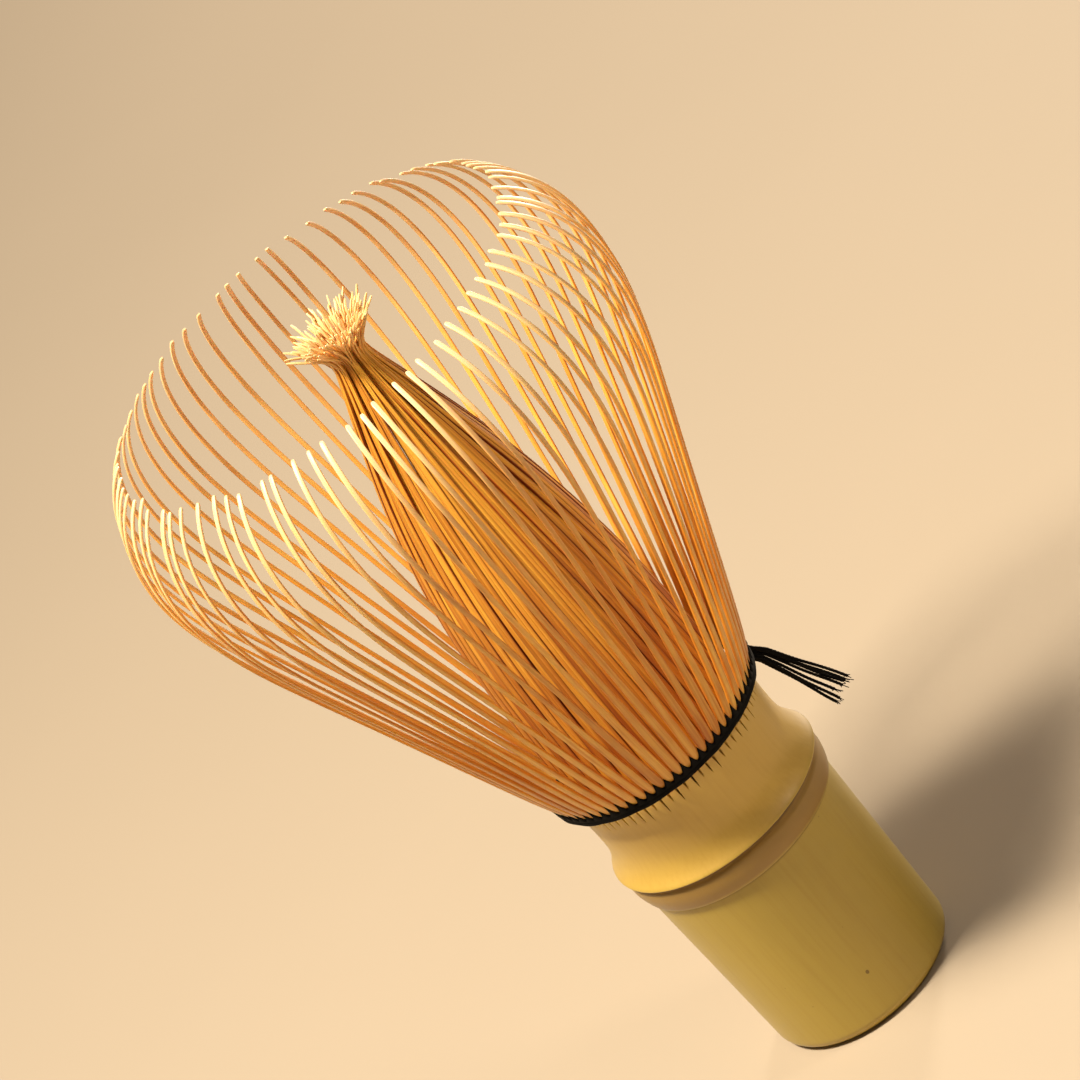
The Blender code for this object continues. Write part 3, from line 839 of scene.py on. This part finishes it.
def inner_lines(rows):
    """Radius, height, middle angle, side, splay and share along, each [strip, row].

    The gather is cos(90 degrees * rise^power), softened near nothing. Square roots of even random
    numbers spread the waists and the brush ends evenly over a disc. Side is -1 or 1, for the two halves.
    """
    rng = np.random.default_rng(23)
    tines, strips = TINE_COUNT, TINE_COUNT * HALVES
    own = np.arange(strips) // HALVES
    side = (np.arange(strips) % HALVES - 0.5)[:, None] * 2.0
    top = BRUSH_TOP_Z + rng.uniform(-1.2, 0.4, strips)[:, None] * MM
    share = np.append(np.linspace(0.0, TIP_START, rows - 2), [0.998, 1.0])[None, :]
    height = ROOT_Z + (top - ROOT_Z) * share
    up = np.clip((height - ROOT_Z) / (WAIST_Z - ROOT_Z), 0.0, 1.0)
    past = np.clip((height - WAIST_Z) / (BRUSH_TOP_Z - WAIST_Z), 0.0, None)
    waist = (WAIST_RADIUS_MOST * np.sqrt(rng.uniform(0.03, 1.0, tines)) * MM)[own, None]
    gather = np.cos(np.pi / 2 * up ** WAIST_POWER)
    gather = np.sqrt(gather ** 2 + WAIST_SETTLE ** 2) - WAIST_SETTLE
    radius = waist + (INNER_ROOT_RADIUS - waist) * gather
    flare = (0.06 + 0.94 * np.sqrt(rng.uniform(0.0, 1.0, strips)))[:, None] * BRUSH_RADIUS
    curl = rng.uniform(-0.5, 0.5, strips)[:, None] * MM * np.sin(np.pi * np.clip(past, 0.0, 1.2))
    radius = radius + (flare - waist) * past ** BRUSH_POWER + curl * past
    sway = np.radians(rng.normal(0.0, 0.55, tines))[own, None] * np.sin(np.pi * share)
    cross = np.radians(rng.normal(0.0, 2.6, tines))[own, None] * up ** 3
    splay = side * np.radians(rng.uniform(2.0, 16.0, strips))[:, None] * np.clip(past, 0.0, 1.0)
    middle = ((own + 0.5) * TINE_PITCH)[:, None] + sway + cross
    return radius, height, middle, side, splay, np.broadcast_to(share, middle.shape), rng


radius, height, middle, side, splay, share, rng = inner_lines(INNER_ROWS)
print("inner brush is %.1f mm across" % (2 * radius[:, -1].max() / MM))

# %% [markdown]
# The halves of a tine overlap a little below the waist, so that no slit of daylight shows between them.
# Only the outer side of each half keeps its edge mark of painted shade, or a dark line would run down every
# tine's middle.

# %% Shape the inner tines
INNER_ROOT_WIDTH, INNER_NARROWING = 0.92, 0.46
INNER_ROOT_THICKNESS, INNER_THINNING = 0.80, 0.50
HALF_OVERLAP = 0.16 * MM
INNER_LENGTH = 70.0 * MM
LEAST_RADIUS = 1.0 * MM
tine_width = (INNER_ROOT_WIDTH - INNER_NARROWING * smooth((share - 0.35) / 0.6)) * MM
overlap = HALF_OVERLAP * (1.0 - smooth((share - 0.7) / 0.15))
inner_width = (tine_width / HALVES + overlap) * tip_rounding(share)
angle = middle + splay + side * tine_width / (4 * np.maximum(radius, LEAST_RADIUS))
slope = np.arctan2(np.gradient(radius, axis=1), np.gradient(height, axis=1))
inner_thickness = (INNER_ROOT_THICKNESS - INNER_THINNING * smooth(share / 0.95)) * MM * tip_rounding(share)
inner_twist = np.radians(rng.normal(0.0, 10.0, TINE_COUNT))[np.arange(len(angle)) // HALVES, None]
inner_twist = inner_twist * smooth(share / 0.6) + splay * 2.0
inner_points = strip_points(radius, height, slope, angle, inner_width, inner_thickness, inner_twist)
inner_points[..., 0] += LEAN * share[..., None] ** 2
tine_tone = np.repeat(rng.random(TINE_COUNT), HALVES)
inner_tone = np.clip(tine_tone + rng.normal(0.0, 0.12, len(angle)), 0.0, 1.0)
inner_marks = strip_marks(len(angle), INNER_LENGTH, share, inner_tone, inner_width, border=0.6)
# The painted edge shade stays only on the outer side of each half.
inner_marks["edge"] = inner_marks["edge"] * (section_loop()[0] * side[..., None] > 0)
print("inner strips", len(angle))

# %% [markdown]
# The inner tines lean on each other at the waist and hardly move, so they have no hinge. Each split's
# inner tines are one piece that rides on the handle as it is.

# %% Put the inner tines on the handle
for split, node in enumerate(INNER_SPLITS):
    rows = split_rows(split, TINES_PER_SPLIT * HALVES)
    name = "inner_tines_%02d" % (split + 1)
    piece = tube_mesh(name, inner_points[rows], part_of(inner_marks, rows), INNER_WOOD)
    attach(piece, "handle")
    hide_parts(node)
print("inner pieces", len(INNER_SPLITS))

# %% [markdown]
# ## Thread
#
# The thread is cotton twisted from three plies. A cord is a circle carried along a path, and the plies
# are that circle swollen three times round, with the swelling turning as it goes. The same function makes
# the band's turns, the course between the rings and the loose ends.

# %% Carry a twisted cord along paths
PLY_COUNT = 3
PLY_SWELL = 0.13
CORD_COLUMNS = 10


def path_length(paths):
    """The length of each path: the sum of the distances between its points."""
    return np.linalg.norm(np.diff(paths, axis=1), axis=-1).sum(axis=1)


def cord_points(paths, thickness, lay_length, columns):
    """paths[strip, row, xyz]. Radius = half thickness, times 1 + swell * cos(plies * (turn - advance)).

    Turn goes round the cord, and advance is the distance travelled, as turns of the lay.
    """
    ahead = np.gradient(paths, axis=1)
    ahead /= np.linalg.norm(ahead, axis=-1, keepdims=True)
    steady = np.array([0.0, 0.0, 1.0])
    lean = np.abs(ahead @ steady)[..., None]
    helper = np.where(lean > 0.9, np.array([1.0, 0.0, 0.0]), steady)
    side = np.cross(ahead, helper)
    side /= np.linalg.norm(side, axis=-1, keepdims=True)
    over = np.cross(side, ahead)
    steps = np.linalg.norm(np.diff(paths, axis=1), axis=-1)
    travelled = np.concatenate([np.zeros((len(paths), 1)), np.cumsum(steps, axis=1)], axis=1)
    turn = 2 * np.pi * np.arange(columns) / columns
    advance = 2 * np.pi * travelled / lay_length
    swell = 1.0 + PLY_SWELL * np.cos(PLY_COUNT * (turn[None, None, :] - advance[..., None]))
    size = np.broadcast_to(np.asarray(thickness) / 2, travelled.shape)[..., None] * swell
    round_part = np.cos(turn)[:, None] * side[:, :, None, :] + np.sin(turn)[:, None] * over[:, :, None, :]
    return paths[:, :, None, :] + size[..., None] * round_part


def cord_piece(name, paths, thickness, lay_length, nodes, columns=CORD_COLUMNS):
    """A thread piece that rides on the handle and stands for the nodes that are named."""
    points = cord_points(paths, thickness, lay_length, columns)
    piece = tube_mesh(name, points, {}, THREAD, np.radians(80.0))
    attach(piece, "handle")
    if nodes:
        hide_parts(*nodes)
    print(name, "of", len(paths), "cords, %.1f mm the longest" % (path_length(paths).max() / MM))


# %% [markdown]
# The band is one thread wound three times round the feet of the tines. Three rings would do, but one
# helix is what the maker's hand leaves, and its ends then lie behind the knot.

# %% Wind the band
THREAD_THICKNESS = 0.62 * MM
BAND_TURNS = 3
BAND_TURN_ROWS = 240
BAND_LAY = 1.1 * MM
BAND_OUTSIDE = BAND_RADIUS - 0.25 * MM
FIRST_TURN_Z = BAND_LOW + THREAD_THICKNESS / 2 + 0.2 * MM
LAST_TURN_Z = BAND_HIGH - 0.45 * MM


def winding_path():
    """One helix of all the turns: the height grows with the angle, and the radius waves a little."""
    share = np.linspace(0.0, 1.0, BAND_TURNS * BAND_TURN_ROWS + 1)
    angle = 2 * np.pi * BAND_TURNS * share
    low, high = FIRST_TURN_Z, LAST_TURN_Z
    height = low + (high - low) * share
    radius = BAND_OUTSIDE - THREAD_THICKNESS / 2 + 0.02 * MM * np.sin(9 * angle)
    return polar(radius, angle, height)[None]


cord_piece("thread_band", winding_path(), THREAD_THICKNESS, BAND_LAY, ["thread_winding"])

# %% [markdown]
# Above the band the thread dives in between every two tines, which leaves a row of small black points. They
# are one ring whose top edge rises to a peak at every gap. Its outline at each angle is an oval that is
# stretched upwards by the peak, and leans out with the tines.

# %% Weave the points between the tines
PEAK_HEIGHT = 1.7 * MM
WEAVE_Z = BAND_HIGH - 0.30 * MM
WEAVE_RADIUS = 0.34 * MM
WEAVE_COLUMNS = 12
WEAVE_ROWS_PER_TINE = 10


def weave_points():
    """Height at a point = weave line + oval + peak share * PEAK_HEIGHT on the upper half of the oval.

    The peak share is the square of the nearness to a gap, times the gap's own random share. The oval is
    slimmer where it peaks.
    """
    count = TINE_COUNT * WEAVE_ROWS_PER_TINE
    angle = 2 * np.pi * np.arange(count) / count
    near = np.abs((angle / TINE_PITCH) % 1.0 - 0.5) * 2.0
    rng = np.random.default_rng(31)
    gap = np.round(angle / TINE_PITCH).astype(int) % TINE_COUNT
    peak = near ** 2.0 * rng.uniform(0.75, 1.2, TINE_COUNT)[gap]
    turn = 2 * np.pi * np.arange(WEAVE_COLUMNS) / WEAVE_COLUMNS
    lift = np.sin(turn)[None, :]
    up = np.clip(lift, 0.0, None) ** 1.1 * peak[:, None] * PEAK_HEIGHT
    height = WEAVE_Z + WEAVE_RADIUS * lift + up
    slim = 1.0 - 0.5 * np.clip(lift, 0.0, None) * peak[:, None]
    middle = BAND_OUTSIDE - 0.36 * MM + np.tan(FLARE_ANGLE) * np.clip(height - WEAVE_Z, 0.0, None)
    radius = middle + WEAVE_RADIUS * np.cos(turn)[None, :] * slim
    return polar(radius, angle[:, None], height)


def ring_mesh(name, points, material):
    """A closed ring: the rows close on themselves as the columns do."""
    rows, columns, _ = points.shape
    index = np.arange(rows * columns).reshape(rows, columns)
    beside = np.roll(index, -1, axis=1)
    above, beyond = np.roll(index, -1, axis=0), np.roll(beside, -1, axis=0)
    quads = np.stack([index, above, beyond, beside], axis=-1).reshape(-1, 4)
    mesh = bpy.data.meshes.new(name)
    mesh.from_pydata(points.reshape(-1, 3).tolist(), [], quads.tolist())
    mesh.shade_smooth()
    mesh.materials.append(material)
    piece = bpy.data.objects.new(name, mesh)
    bpy.context.scene.collection.objects.link(piece)
    return piece


weave = ring_mesh("thread_weave", weave_points(), THREAD)
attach(weave, "handle")
print("thread points", TINE_COUNT)

# %% [markdown]
# Between the two rings of tines the thread runs once round, bending in and out from tine to tine. It hardly
# shows, except from above. It closes on itself, so it is a ring with whole numbers of waves and plies.

# %% Lay the inner course
course_low, course_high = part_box("thread_course")
COURSE_RADIUS = course_high[0] - (course_high[2] - course_low[2]) / 2
COURSE_Z = (course_low[2] + course_high[2]) / 2
COURSE_THREAD_RADIUS = 0.27 * MM
COURSE_WANDER = 0.15 * MM
COURSE_TWISTS = 72
COURSE_ROWS = 720


def course_points():
    """A twisted cord that closes on itself, on a circle whose radius waves once for every two tines."""
    angle = 2 * np.pi * np.arange(COURSE_ROWS) / COURSE_ROWS
    turn = 2 * np.pi * np.arange(CORD_COLUMNS) / CORD_COLUMNS
    plies = 1.0 + PLY_SWELL * np.cos(PLY_COUNT * turn[None, :] - COURSE_TWISTS * angle[:, None])
    size = COURSE_THREAD_RADIUS * plies
    wander = COURSE_WANDER * np.cos(TINE_COUNT * angle / 2)[:, None]
    radius = COURSE_RADIUS + wander + size * np.cos(turn)
    return polar(radius, angle[:, None], COURSE_Z + size * np.sin(turn))


course = ring_mesh("thread_inner_course", course_points(), THREAD)
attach(course, "handle")
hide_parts("thread_course")
print("inner course radius %.2f mm" % (COURSE_RADIUS / MM))

# %% [markdown]
# The knot is one short thread wrapped round itself and pressed against the band. A path that waves at
# one, two and three times its turn crosses itself as a knot does, and needs no list of points.

# %% Tie the knot
knot_middle = (np.array(knot_low) + np.array(knot_high)) / 2
knot_azimuth = float(np.arctan2(knot_middle[1], knot_middle[0]))
KNOT_RADIUS = BAND_OUTSIDE + 0.05 * MM
KNOT_SIZE = 0.30 * MM
KNOT_THICKNESS = 0.44 * MM
KNOT_ROWS = 160


def knot_path():
    """A loop of two turns that crosses itself, pressed flat against the band."""
    turn = np.linspace(0.0, 2 * np.pi, KNOT_ROWS)
    sideways = KNOT_SIZE * (np.sin(turn) + 1.3 * np.sin(2 * turn)) / KNOT_RADIUS
    height = knot_middle[2] + 1.2 * KNOT_SIZE * (np.cos(turn) - 1.3 * np.cos(2 * turn))
    return polar(KNOT_RADIUS + 0.4 * KNOT_SIZE * np.sin(3 * turn), knot_azimuth + sideways, height)[None]


cord_piece("thread_tie", knot_path(), KNOT_THICKNESS, BAND_LAY, ["thread_knot"])

# %% [markdown]
# The loose ends leave from under the knot and hang off to the side. Each is a cord with its own small
# waves, thinner than the turns because it has come untwisted. They are only some 13 mm long, too short
# for a free cord that has to be laid on a route.

# %% Lay the loose ends
TAIL_NODES = sorted(name for name in frame["nodes"] if name.startswith("thread_end"))
TAIL_LEAN = np.radians(23.5)
TAIL_LENGTH = 13.4 * MM
TAIL_THICKNESS, TAIL_LAY = 0.38 * MM, 1.5 * MM
TAIL_SEATS = np.array([-1.0, -0.68, -0.34, 0.12, 0.40, 0.70, 1.0])
TAIL_ROWS = 70
TAIL_WAVE = 0.09 * MM
TAIL_ROOT = np.array([BAND_OUTSIDE, 0.8 * MM, knot_middle[2] - 1.15 * MM])
TAIL_HOOK = np.array([-0.7 * MM, 0.5 * MM, 0.0])
TAIL_HOOK_SHARE = 0.16


def tail_paths():
    """Strands side by side that fan a little: [strand, row, xyz].

    A point = the root + the way down the tail + its seat across the ends and its depth, which both
    widen along the way. The hook tucks the start of every strand back under the knot.
    """
    rng = np.random.default_rng(41)
    strands = len(TAIL_SEATS)
    share = np.linspace(0.0, 1.0, TAIL_ROWS)[None, :, None]
    ahead = np.array([np.sin(TAIL_LEAN), 0.0, -np.cos(TAIL_LEAN)])
    across = np.array([np.cos(TAIL_LEAN), 0.0, np.sin(TAIL_LEAN)])
    outwards = np.array([0.0, 1.0, 0.0])
    seat = TAIL_SEATS[:, None, None] * (0.72 + 1.05 * share ** 1.2) * MM
    length = (TAIL_LENGTH + rng.uniform(-0.9, 0.3, strands) * MM)[:, None, None]
    depth = rng.uniform(-0.45, 0.45, strands)[:, None, None] * (0.5 + 2.6 * share ** 1.3) * MM
    phase = rng.random(strands)[:, None, None] * 2 * np.pi
    wave = TAIL_WAVE * np.sin(2.6 * np.pi * share + phase) * share
    hooked = smooth((TAIL_HOOK_SHARE - share) / TAIL_HOOK_SHARE) * TAIL_HOOK
    return TAIL_ROOT + ahead * length * share + across * (seat + wave) + outwards * depth + hooked


tails = tail_paths()
cord_piece("thread_tail", tails, TAIL_THICKNESS, TAIL_LAY, TAIL_NODES)

# %% [markdown]
# A cut cotton end frays. Four short hairs go on from each end, and spread by the square of the way.

# %% Fray the ends
HAIRS_PER_END = 4
HAIR_THICKNESS, HAIR_LAY = 0.11 * MM, 3.0 * MM


def fray_paths(tails, rows=9):
    """Short fibres that go on from each cut end and spread: [strand * hair, row, xyz]."""
    hairs = HAIRS_PER_END
    rng = np.random.default_rng(43)
    ahead = tails[:, -1] - tails[:, -4]
    ahead /= np.linalg.norm(ahead, axis=-1, keepdims=True)
    share = np.linspace(0.0, 1.0, rows)[None, None, :, None]
    spread = rng.normal(0.0, 1.0, (len(tails), hairs, 1, 3))
    start = tails[:, None, None, -3] + spread * 0.06 * MM
    reach = rng.uniform(0.5, 1.1, (len(tails), hairs, 1, 1)) * MM
    paths = start + ahead[:, None, None] * reach * share + spread * 0.16 * MM * share ** 2
    return paths.reshape(-1, rows, 3)


cord_piece("thread_fray", fray_paths(tails), HAIR_THICKNESS, HAIR_LAY, [], columns=5)
